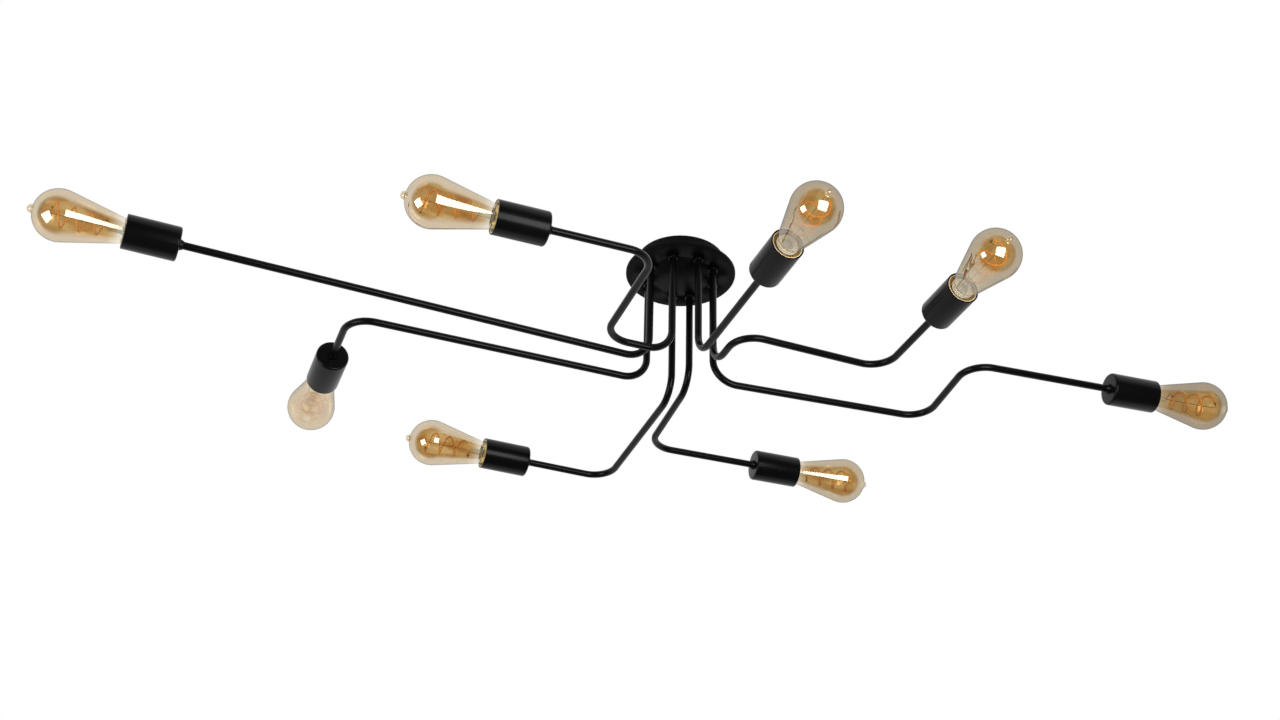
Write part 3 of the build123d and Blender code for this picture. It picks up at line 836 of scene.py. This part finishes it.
def makeSleeve():
    bm = bmesh.new()
    outer, mouth, length, lip = sleeve["radius"], sleeve["mouth"], sleeve["length"], sleeve["lip"]
    inner = outer - sleeve["sheet"]
    innerRounding = sleeve["rounding"] - sleeve["back"]
    outline = [
        (sleeve["hole"], 0),
        (outer - sleeve["rounding"], 0),
        (outer - sleeve["rounding"], sleeve["rounding"], 90),
        (outer, length - lip),
        (outer - lip, length - lip, 90),
        (mouth + lip, length),
        (mouth + lip, length - lip, 90),
        (mouth, length - sleeve["mouthDepth"]),
        (inner, length - sleeve["mouthDepth"] - (inner - mouth)),
        (inner, sleeve["back"] + innerRounding),
        (inner - innerRounding, sleeve["back"] + innerRounding, -90),
        (sleeve["hole"], sleeve["back"]),
    ]
    lathe(bm, outline, sleeve["steps"], closed=True)
    back = inner - liner["gap"]
    inside = back - liner["sheet"]
    front, edge, floor = liner["front"], liner["edge"], liner["floor"]
    outline = [
        (back, liner["start"]),
        (back, liner["step"]),
        (liner["outer"], liner["step"] + back - liner["outer"]),
        (liner["outer"], front - edge),
        (liner["outer"] - edge, front - edge, 90),
        (liner["inner"] + edge, front),
        (liner["inner"] + edge, front - edge, 90),
        (liner["inner"], floor),
        (liner["floorInner"], floor),
        (liner["floorInner"], floor - liner["sheet"]),
        (inside, floor - liner["sheet"]),
        (inside, liner["start"]),
    ]
    lathe(bm, outline, sleeve["steps"], closed=True, finish=1, arcSteps=liner["edgeSteps"])
    # faces flat at the floor's height take the dark brass, painted shade deep in the mouth
    for face in bm.faces:
        if face.material_index == 1 and all(abs(vert.co.z - floor * mm) < weld for vert in face.verts):
            face.material_index = 2
    return meshOf("lampSleeve", bm, [blackCoat, litLinerBrass, shadedFloorBrass])


# Rolled thread: root to crest and back in one pitch, by shares of it
roll = {"crestFrom": 0.25, "crestTo": 0.5, "rootFrom": 0.8, "rounding": 0.4, "roundingSteps": 3,
        "sheet": 0.12}


def threadStrip(bm, thread, finish, inwards=False):
    # one pitch of rolled thread, wound up the axis
    older = set(bm.verts)
    root, crest, rise = thread["root"], thread["crest"], thread["pitch"]
    profile = [
        (root, 0),
        (crest, roll["crestFrom"]),
        (crest, roll["crestTo"]),
        (root, roll["rootFrom"]),
        (root, 1),
    ]
    strip = [bm.verts.new((r * mm, 0, (thread["start"] + share * rise) * mm)) for r, share in profile]
    for pair in zip(strip, strip[1:]):
        bm.edges.new(pair)
    bmesh.ops.bevel(
        bm, geom=strip[1:3], offset=roll["rounding"] * mm, segments=roll["roundingSteps"], profile=0.5,
        affect="VERTICES", material=-1,
    )
    verts = madeSince(bm, older)
    bmesh.ops.spin(
        bm, geom=verts + edgesOf(verts), **upright, angle=2 * pi * thread["turns"],
        steps=thread["turns"] * thread["stepsPerTurn"], dvec=(0, 0, rise * mm / thread["stepsPerTurn"]),
    )
    faces = facesOf(settle(bm, older, finish))
    outside = sum(face.normal.xy.dot(face.calc_center_median().xy) for face in faces) > 0
    if outside == inwards:
        bmesh.ops.reverse_faces(bm, faces=faces)
    bmesh.ops.solidify(bm, geom=faces, thickness=roll["sheet"] * mm)


# Socket: phenolic core, brass screw shell in its bore, sprung contact on its floor
socket = {"radius": 19.9, "back": 1.5, "front": 58.0, "floor": 31.0, "bore": 13.7, "rear": 21.5,
          "chamfer": 2.0, "edge": 0.8, "recess": 1.2, "recessRadius": 15.6, "ring": 0.5,
          "ringInner": 14.0, "ringOuter": 19.6, "steps": 64}
shell = {"start": 36.5, "turns": 5, "pitch": 3.62, "root": 13.62, "crest": 13.36, "stepsPerTurn": 48}
contact = {"radius": 3.0, "low": 31.0, "high": 33.2, "rounding": 0.8, "steps": 32}


def makeSocket():
    bm = bmesh.new()
    wide, front, edge = socket["radius"], socket["front"], socket["edge"]
    outline = [
        (0, socket["rear"]),
        (sleeve["hole"], socket["rear"]),
        (sleeve["hole"], socket["back"]),
        (wide - socket["chamfer"], socket["back"]),
        (wide, socket["back"] + socket["chamfer"]),
        (wide, front - edge),
        (wide - edge, front - edge, 90),
        (socket["recessRadius"], front),
        (socket["recessRadius"], front - socket["recess"]),
        (socket["bore"], front - socket["recess"]),
        (socket["bore"], socket["floor"]),
        (0, socket["floor"]),
    ]
    lathe(bm, outline, socket["steps"])
    outline = [
        (socket["ringInner"], front),
        (socket["ringOuter"], front),
        (socket["ringOuter"], front + socket["ring"]),
        (socket["ringInner"], front + socket["ring"]),
    ]
    lathe(bm, outline, socket["steps"], closed=True, finish=2)
    threadStrip(bm, shell, finish=1, inwards=True)
    radius, low, rounding = contact["radius"], contact["low"], contact["rounding"]
    shoulder = contact["high"] - rounding
    outline = [
        (0, low),
        (radius, low),
        (radius, shoulder),
        (radius - rounding, shoulder, 90),
        (0, contact["high"]),
    ]
    lathe(bm, outline, contact["steps"], finish=1)
    return meshOf("lampSocket", bm, [blackPhenolic, capBrass, litLinerBrass])


# Bulb cap: rolled brass screw shell, cast insulator and a soldered contact
cap = {"tip": 33.6, "button": 35.2, "buttonRadius": 3.0, "buttonRounding": 1.0, "buttonSink": 0.2,
       "coneFoot": 0.4, "coneRadius": 9.15, "coneTop": 38.5, "sink": 0.3, "inset": 0.2, "wall": 0.6,
       "skirtFrom": 55.6, "skirtBevel": 0.4, "skirtRise": 0.8, "rim": 60.6, "buttonSteps": 32, "steps": 64}
capThread = {"start": 40.5, "turns": 4, "pitch": 3.62, "root": 12.15, "crest": 13.2, "stepsPerTurn": 48}


def makeCap():
    bm = bmesh.new()
    crest, start, skirt = capThread["crest"], capThread["start"], cap["skirtFrom"]
    core = capThread["root"] - cap["inset"]
    inside = core - cap["wall"]
    threadStrip(bm, capThread, finish=0)
    outline = [
        (inside, start),
        (core, start),
        (core, skirt),
        (crest - cap["skirtBevel"], skirt),
        (crest, skirt + cap["skirtRise"]),
        (crest, cap["rim"]),
        (inside, cap["rim"]),
    ]
    lathe(bm, outline, cap["steps"], closed=True)
    foot, top = cap["button"] - cap["buttonSink"], start + cap["sink"]
    outline = [
        (0, foot),
        (cap["buttonRadius"] + cap["coneFoot"], foot),
        (cap["coneRadius"], cap["coneTop"]),
        (core - cap["sink"], top),
        (0, top),
    ]
    lathe(bm, outline, cap["steps"], finish=1)
    tip, rounding = cap["tip"], cap["buttonRounding"]
    flat = cap["buttonRadius"] - rounding
    outline = [
        (0, tip),
        (flat, tip),
        (flat, tip + rounding, 90),
        (cap["buttonRadius"], cap["button"]),
        (0, cap["button"]),
    ]
    lathe(bm, outline, cap["buttonSteps"], finish=2)
    return meshOf("bulbCap", bm, [capBrass, capInsulator, tinSolder])


# Bulb envelope: a thin pear with a sealed pip at its tip
glass = {"radius": 32.0, "centre": 140.5, "slope": 13.0, "neck": 12.8, "foot": 60.65, "lip": 0.6,
         "neckTop": 64.0, "hold": 1.5, "pipBase": 8.8, "pipRadius": 5.4, "pipTip": 178.0,
         "pipFlare": ((0.55, 0.2), (0.2, 0.5)), "sharpAngle": 50, "arcSteps": 28, "steps": 112}


def finishFoot(bm, height, finish):
    # the faces at the foot of a turned piece, up to a height
    for face in bm.faces:
        if all(vert.co.z < height * mm + weld for vert in face.verts):
            face.material_index = finish


def makeGlass():
    bm = bmesh.new()
    radius, slope, centre = glass["radius"], radians(glass["slope"]), glass["centre"]
    foot, neckTop, hold = glass["foot"], glass["neckTop"], glass["hold"]
    base, pip = glass["pipBase"], glass["pipRadius"]
    shoulder = (radius * cos(slope), centre - radius * sin(slope))
    coneFoot = shoulder[0] - (shoulder[1] - neckTop) * tan(slope)
    seal = asin(base / radius)
    sealHeight = centre + radius * cos(seal)
    waist = glass["pipTip"] - pip
    outline = [
        (0, foot),
        (glass["neck"], foot),
        (glass["neck"], foot + glass["lip"]),
        (coneFoot, neckTop),
        (coneFoot + hold * tan(slope), neckTop + hold),
        shoulder,
        (0, centre, 90 + glass["slope"] - degrees(seal)),
    ]
    for wide, rise in glass["pipFlare"]:
        outline.append((wide * base + (1 - wide) * pip, sealHeight + rise * (waist - sealHeight)))
    outline += [(pip, waist), (0, waist, 90)]
    lathe(bm, outline, glass["steps"], arcSteps=glass["arcSteps"])
    finishFoot(bm, foot, finish=1)
    return meshOf("bulbGlass", bm, [bulbGlassCoat, milkySeal], glass["sharpAngle"])


# Filament: a glass stem flared into the milky seal, two support wires and one widening spiral strand
stem = {"foot": 60.75, "footRadius": 11.6, "sealEdge": 63.2, "sealRadius": 14.4, "sealLip": 0.5,
        "sealRise": 0.6, "sealTop": 64.4, "flare": ((3.0, 0.0), (1.2, 0.25), (0.4, 0.6)), "flareTop": 72.0,
        "radius": 4.0, "top": 84.0, "rounding": 2.0, "steps": 64}
strand = {"radius": 1.2, "start": 88.0, "end": 150.0, "turns": 3, "first": 11.5, "last": 14.5,
          "tangent": 0.02, "ends": 1.8, "sides": 12, "stepsPerTurn": 48}
wire = {"radius": 0.45, "bend": 1.5, "sides": 10, "bendSteps": 8, "clipRadius": 1.45, "clipLength": 4.0,
        "clipSides": 14}


def strandPoint(turn):
    share = turn / strand["turns"]
    radius = strand["first"] + (strand["last"] - strand["first"]) * share
    angle = 2 * pi * turn
    height = strand["start"] + share * (strand["end"] - strand["start"])
    return Vector((radius * cos(angle), radius * sin(angle), height)) * mm


def makeFilament():
    bm = bmesh.new()
    radius, top, rounding = stem["radius"], stem["top"], stem["rounding"]
    sealTop, flareTop = stem["sealTop"], stem["flareTop"]
    outline = [
        (0, stem["foot"]),
        (stem["footRadius"], stem["foot"]),
        (stem["sealRadius"] - stem["sealLip"], stem["sealEdge"]),
        (stem["sealRadius"], stem["sealEdge"] + stem["sealRise"]),
    ]
    for wider, rise in stem["flare"]:
        outline.append((radius + wider, sealTop + rise * (flareTop - sealTop)))
    outline += [
        (radius, flareTop),
        (radius, top - rounding),
        (radius - rounding, top - rounding, 90),
        (0, top),
    ]
    lathe(bm, outline, stem["steps"])
    finishFoot(bm, sealTop, finish=3)
    older = set(bm.verts)
    steps = strand["turns"] * strand["stepsPerTurn"]
    rise = (strand["end"] - strand["start"]) * mm
    stand = Matrix.Translation(strandPoint(0)) @ Matrix.Rotation(pi / 2, 4, "X")
    ring = {"radius": strand["radius"] * mm, "segments": strand["sides"], "matrix": stand}
    verts = bmesh.ops.create_circle(bm, **ring)["verts"]
    bmesh.ops.spin(
        bm, geom=verts + edgesOf(verts), **upright, angle=2 * pi * strand["turns"], steps=steps,
        dvec=(0, 0, rise / steps),
    )
    coil = settle(bm, older, finish=2)
    growth = strand["last"] / strand["first"] - 1
    for vert in coil:  # the spiral widens towards the round end of the bulb
        grown = 1 + growth * (vert.co.z - strand["start"] * mm) / rise
        vert.co.x *= grown
        vert.co.y *= grown
    closeEnds(bm, coil, finish=2)
    ends = [strandPoint(0), strandPoint(strand["turns"])]
    inner = [strandPoint(strand["tangent"]), strandPoint(strand["turns"] - strand["tangent"])]
    outward = [(end - near).normalized() for end, near in zip(ends, inner)]
    reach = (radius + strand["ends"]) * mm
    roots = [
        [Vector((radius / 2, 0, top)) * mm],
        [Vector((0, 0, strand["end"] + radius)) * mm, Vector((0, 0, top)) * mm],
    ]
    bend, half = wire["bend"] * mm, wire["clipLength"] / 2 * mm
    for end, heading, root in zip(ends, outward, roots):
        route = [end, end + heading * reach, *root]
        bentTube(bm, route, wire["radius"] * mm, bend, wire["sides"], wire["bendSteps"], finish=1)
    for end, heading in zip(ends, outward):
        route = [end - heading * half, end + heading * half]
        bentTube(bm, route, wire["clipRadius"] * mm, bend, wire["clipSides"], wire["bendSteps"], finish=1)
    return meshOf("bulbFilament", bm, [stemGlass, nickelWire, phosphor, milkySeal])


masters = {
    "lampSleeve": (makeSleeve(), "arm_{}", "black_coat", "lamp_sleeve_{}"),
    "lampSocket": (makeSocket(), "arm_{}", "black_phenolic", "lamp_socket_{}"),
    "bulbCap": (makeCap(), "cap_{}", "cap_metal", "bulb_cap_{}"),
    "bulbGlass": (makeGlass(), "bulb_{}", "amber_glass", "bulb_glass_{}"),
    "bulbFilament": (makeFilament(), "bulb_{}", "filament", "bulb_filament_{}"),
}
for key, arm in arms.items():
    makeArmTube(key, arm)
    for name, (master, body, slot, node) in masters.items():
        mesh = master.copy()
        mesh.transform(lampPlacement(arm, arm["turn"] if name.startswith("bulb") else 0))
        if name == "bulbGlass":
            dullness = mesh.attributes.new("dullness", "FLOAT", "POINT")
            dullness.data.foreach_set("value", [arm["dull"]] * len(mesh.vertices))
        addPiece(f"{name}_{key}", mesh, body.format(key), slot, node.format(key))
for master, *_ in masters.values():
    bpy.data.meshes.remove(master)
print("arms and bulbs made:", len(arms))

# CAD nodes that stay in view take the finish of their slot
for node in nodes.values():
    for holder in node.material_slots:
        holder.material = finishOfSlot[holder.material.name]
print("finishes given to the nodes that stay")


# Studio: a white backdrop behind the light, a dim room in front of it, two softboxes and a pale floor
studio = {"level": 0.5, "room": 0.12, "turnFrom": -0.34, "turnTo": 0.06, "behind": (0.29, 0.79, 0.54),
          "floorHeight": -4.2, "floorSize": 40.0, "floorPale": 0.4}
softboxes = {
    "keySoftbox": {"place": (0.08, -1.25, -0.58), "size": 0.7, "watts": 16.0, "shine": 7.0},
    "sideSoftbox": {"place": (-1.5, -0.42, -0.76), "size": 0.68, "watts": 12.0, "shine": 7.0},
}


def makeWorld():
    world = bpy.data.worlds.new("whiteStudio")
    scene.world = world
    world.use_nodes = True
    tree = world.node_tree
    tree.nodes.clear()
    path = addNode(tree, "ShaderNodeLightPath").outputs
    place = addNode(tree, "ShaderNodeTexCoord").outputs["Generated"]
    facing = addNode(tree, "ShaderNodeVectorMath", {0: place, 1: studio["behind"]}, operation="DOT_PRODUCT")
    backdrop = addNode(
        tree,
        "ShaderNodeMapRange",
        {
            "Value": facing.outputs["Value"],
            "From Min": studio["turnFrom"],
            "From Max": studio["turnTo"],
            "To Min": studio["room"],
        },
        interpolation_type="SMOOTHSTEP",
    )
    seen = addNode(
        tree,
        "ShaderNodeMath",
        {0: path["Is Camera Ray"], 1: path["Is Transmission Ray"]},
        operation="MAXIMUM",
    )
    # what shines shows the white backdrop behind the light and the dim room in front of it
    mirrored = addNode(
        tree,
        "ShaderNodeMix",
        {"Factor": path["Is Glossy Ray"], "A": studio["level"], "B": backdrop.outputs["Result"]},
    )
    strength = addNode(
        tree,
        "ShaderNodeMath",
        {0: seen.outputs["Value"], 1: mirrored.outputs["Result"]},
        operation="MAXIMUM",
    )
    sky = addNode(
        tree, "ShaderNodeBackground", {"Color": linear("#ffffff"), "Strength": strength.outputs["Value"]}
    )
    addNode(tree, "ShaderNodeOutputWorld", {"Surface": sky.outputs["Background"]})


def makeFloor():
    # matt paint on a studio floor, rolled on, so faintly clouded
    cloud = 1250 * mm
    paint, tree, shader, place = newFinish(
        "mattFloorPaint", Roughness=0.9, Emission_Color=linear("#ffffff")
    )
    clouds = addNode(tree, "ShaderNodeTexNoise", {"Vector": place, "Scale": 1 / cloud, "Detail": 2.0})
    addNode(
        tree,
        "ShaderNodeMix",
        {"Factor": clouds.outputs["Fac"], "A": linear("#f2f1ef"), "B": linear("#eae9e6")},
        shader.inputs["Base Color"],
        data_type="RGBA",
    )
    # paler to the camera alone, so that the light gets none of it and shadows stay
    seen = addNode(tree, "ShaderNodeLightPath").outputs["Is Camera Ray"]
    addNode(
        tree,
        "ShaderNodeMapRange",
        {"Value": seen, "To Max": studio["floorPale"]},
        shader.inputs["Emission Strength"],
    )
    bm = bmesh.new()
    low = Matrix.Translation((0, 0, studio["floorHeight"]))
    bmesh.ops.create_grid(bm, size=studio["floorSize"] / 2, matrix=low)
    floor = bpy.data.objects.new("studioFloor", meshOf("studioFloor", bm, [paint]))
    scene.collection.objects.link(floor)
    floor.visible_glossy = False
    floor.visible_transmission = False


def makeSoftbox(name, box):
    # an area lamp gives the light, a card of the same size is what shiny pieces mirror
    middle = (cadBox[0] + cadBox[1]) / 2
    place = Vector(box["place"])
    aim = (middle - place).to_track_quat("-Z", "Y").to_matrix().to_4x4()
    data = bpy.data.lights.new(name, "AREA")
    data.size = box["size"]
    data.energy = box["watts"]
    lamp = bpy.data.objects.new(name, data)
    lamp.matrix_world = Matrix.Translation(place) @ aim
    lamp.visible_camera = lamp.visible_glossy = lamp.visible_transmission = False
    scene.collection.objects.link(lamp)
    cloth = bpy.data.materials.new(f"{name}Cloth")
    cloth.use_nodes = True
    tree = cloth.node_tree
    surface = tree.nodes["Material Output"].inputs["Surface"]
    addNode(tree, "ShaderNodeEmission", {"Color": linear("#ffffff"), "Strength": box["shine"]}, surface)
    bm = bmesh.new()
    bmesh.ops.create_grid(bm, size=box["size"] / 2, matrix=lamp.matrix_world)
    card = bpy.data.objects.new(f"{name}Card", meshOf(f"{name}Card", bm, [cloth]))
    scene.collection.objects.link(card)
    card.visible_camera = card.visible_diffuse = card.visible_transmission = False
    card.visible_shadow = card.visible_volume_scatter = False


makeWorld()
makeFloor()
for name, box in softboxes.items():
    makeSoftbox(name, box)
print("studio lit")
